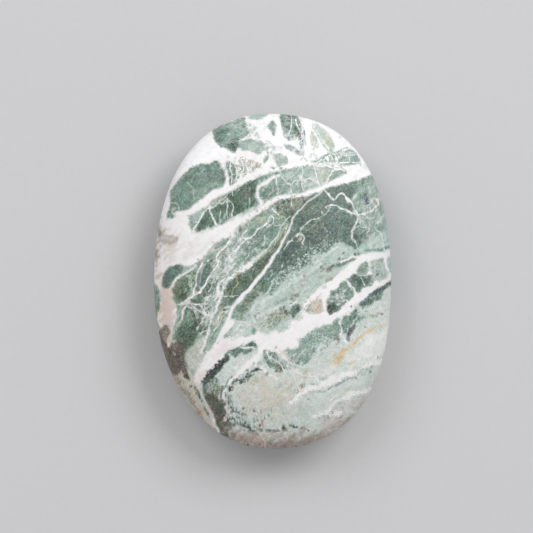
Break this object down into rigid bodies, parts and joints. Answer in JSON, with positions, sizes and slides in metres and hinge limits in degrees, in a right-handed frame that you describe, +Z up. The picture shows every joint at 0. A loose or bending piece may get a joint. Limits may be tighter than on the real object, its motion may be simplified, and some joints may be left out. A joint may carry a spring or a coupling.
{
  "type": "palm stone",
  "caption": "Smooth oval palm stone of green and white veined rock, domed on both faces, that rests on a small flat spot.",
  "frame": {"origin": "on the resting surface, under the middle of the stone's box", "axes": "+Z up through the thickness, out of the face that the picture shows; +Y along the long axis, towards the top of the picture; +X along the short axis, to the picture's right"},
  "size_m": [0.0496, 0.07, 0.02],
  "materials": {
    "veined_rock": "satin polish, green rock with white veins"
  },
  "bodies": {
    "root": {"palm_stone": "veined_rock"}
  },
  "joints": []
}
